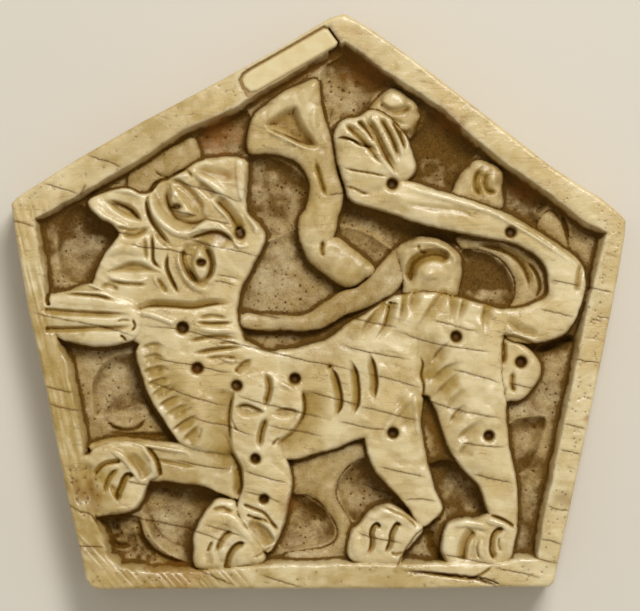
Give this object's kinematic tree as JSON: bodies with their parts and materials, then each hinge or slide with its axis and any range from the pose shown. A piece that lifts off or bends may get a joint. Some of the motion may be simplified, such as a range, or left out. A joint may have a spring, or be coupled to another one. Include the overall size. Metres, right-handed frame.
{
  "type": "relief plaque",
  "caption": "Small gabled ivory plaque carved in relief with a walking lion that looks back, its leafy tail raised over vine scrolls, inside a plain raised border.",
  "frame": {"origin": "centre of the bounding box, on the plane of the flat back", "axes": "+Z out of the carved face, +Y up the carving towards the gable's point, +X to the right as the face is looked at"},
  "size_m": [0.07, 0.0656, 0.008],
  "materials": {
    "ivory": "old ivory, polished by handling on the high parts, brown with dirt in the hollows, with fine cracks",
    "pale_ivory": "paler, smoother ivory with a soft polish"
  },
  "bodies": {
    "root": {"plaque": "ivory", "border_infill_strip": "pale_ivory"}
  },
  "joints": []
}
